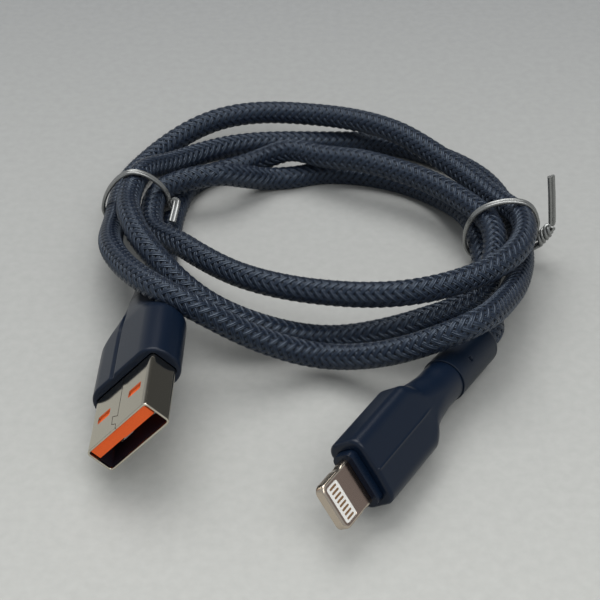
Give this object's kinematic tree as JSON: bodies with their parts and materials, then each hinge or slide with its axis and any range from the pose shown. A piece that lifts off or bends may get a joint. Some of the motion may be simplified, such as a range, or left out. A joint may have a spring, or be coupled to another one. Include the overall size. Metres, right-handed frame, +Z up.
{
  "type": "charging cable",
  "caption": "Braided charging cable, coiled and held by two wire ties, with a flat charger plug at one end and a slim contact-tab phone plug at the other.",
  "frame": {"origin": "centre of the box round the coiled cable, on the surface that it lies on", "axes": "+Z up from the surface; the plugs point towards -Y, the charger plug at -X and the phone plug nearer the middle; +X to the right as seen from the plugs' side"},
  "size_m": [0.0714, 0.0998, 0.0163],
  "materials": {
    "nickel_shell": "nickel plated, satin",
    "orange_plastic": "moulded, satin",
    "gold_contacts": "gold plated, polished",
    "solder": "bright",
    "wire_red": "smooth",
    "wire_white": "smooth",
    "wire_green": "smooth",
    "wire_black": "smooth",
    "pale_mould": "moulded",
    "crimp_steel": "tin plated",
    "cord_braid": "woven nylon braid, slight sheen",
    "black_housing": "moulded, fine satin",
    "black_relief": "moulded, fine satin",
    "polished_tab": "nickel plated, polished",
    "carrier_plastic": "moulded",
    "green_board": "solder mask",
    "chip_black": "moulded",
    "capacitor_tan": "fired",
    "dark_mould": "moulded",
    "tie_plastic": "translucent, glossy"
  },
  "bodies": {
    "root": {"charger_shell": "nickel_shell", "charger_insulator": "orange_plastic", "charger_power_contacts": "gold_contacts", "charger_data_contacts": "gold_contacts", "charger_solder_joints": "solder", "charger_wire_red": "wire_red", "charger_wire_white": "wire_white", "charger_wire_green": "wire_green", "charger_wire_black": "wire_black", "charger_inner_mould": "pale_mould", "charger_crimp": "crimp_steel", "charger_cord_end": "cord_braid", "charger_housing": "black_housing", "charger_strain_relief": "black_relief", "charger_lead": "cord_braid", "cord_coil": "cord_braid", "phone_lead": "cord_braid", "phone_tab": "polished_tab", "phone_contact_carrier": "carrier_plastic", "phone_contacts_front": "gold_contacts", "phone_contacts_back": "gold_contacts", "phone_board": "green_board", "phone_chip": "chip_black", "phone_capacitors": "capacitor_tan", "phone_shield_can": "crimp_steel", "phone_solder_joints": "solder", "phone_wire_red": "wire_red", "phone_wire_white": "wire_white", "phone_wire_green": "wire_green", "phone_wire_black": "wire_black", "phone_inner_mould": "dark_mould", "phone_crimp": "crimp_steel", "phone_cord_end": "cord_braid", "phone_housing": "black_housing", "phone_strain_relief": "black_relief", "left_tie": "tie_plastic", "right_tie": "tie_plastic"}
  },
  "joints": []
}
